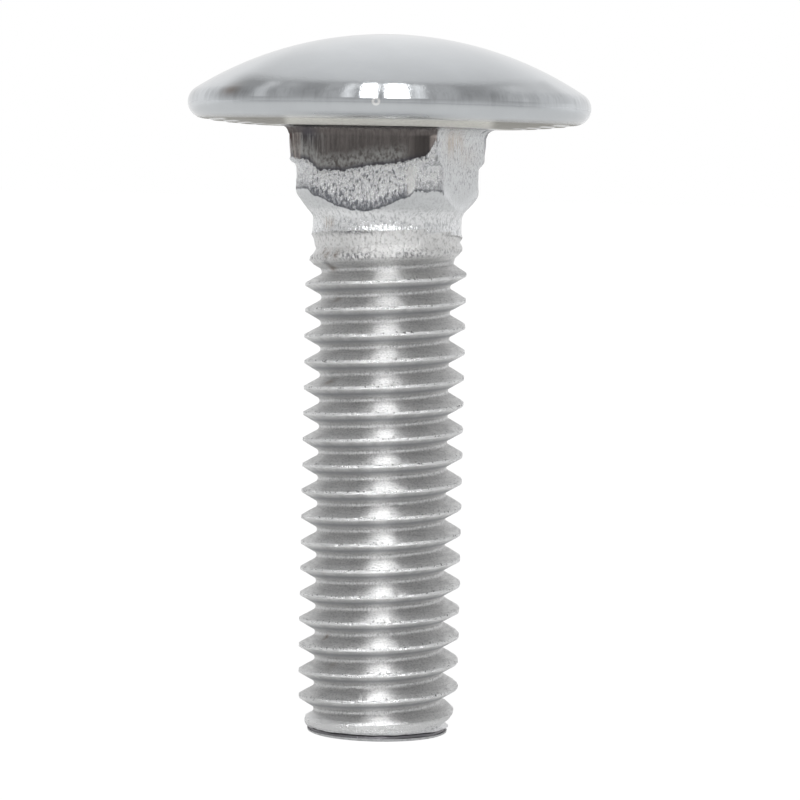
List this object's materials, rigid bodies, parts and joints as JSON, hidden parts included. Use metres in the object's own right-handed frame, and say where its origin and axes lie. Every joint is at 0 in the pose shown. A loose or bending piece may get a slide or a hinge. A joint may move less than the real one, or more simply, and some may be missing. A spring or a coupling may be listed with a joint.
{
  "type": "carriage bolt",
  "caption": "Domed mushroom head on a square neck with blunt lower corners, over a round shank with a coarse right-hand thread down to its chamfered end.",
  "frame": {"origin": "on the bolt's axis, in the plane of the flat bearing face under the head, from which the bolt's length is measured", "axes": "+Z along the axis to the top of the domed head, so the thread points down -Z and the bolt stands on its flat end; the square neck's flats face +X, -X, +Y and -Y"},
  "size_m": [0.0194, 0.0194, 0.0337],
  "materials": {
    "bright_steel": "bright stainless steel: smooth forged dome, drawn and pressed neck, rolled thread with grainy crests"
  },
  "bodies": {
    "root": {"carriage_bolt": "bright_steel"}
  },
  "joints": []
}
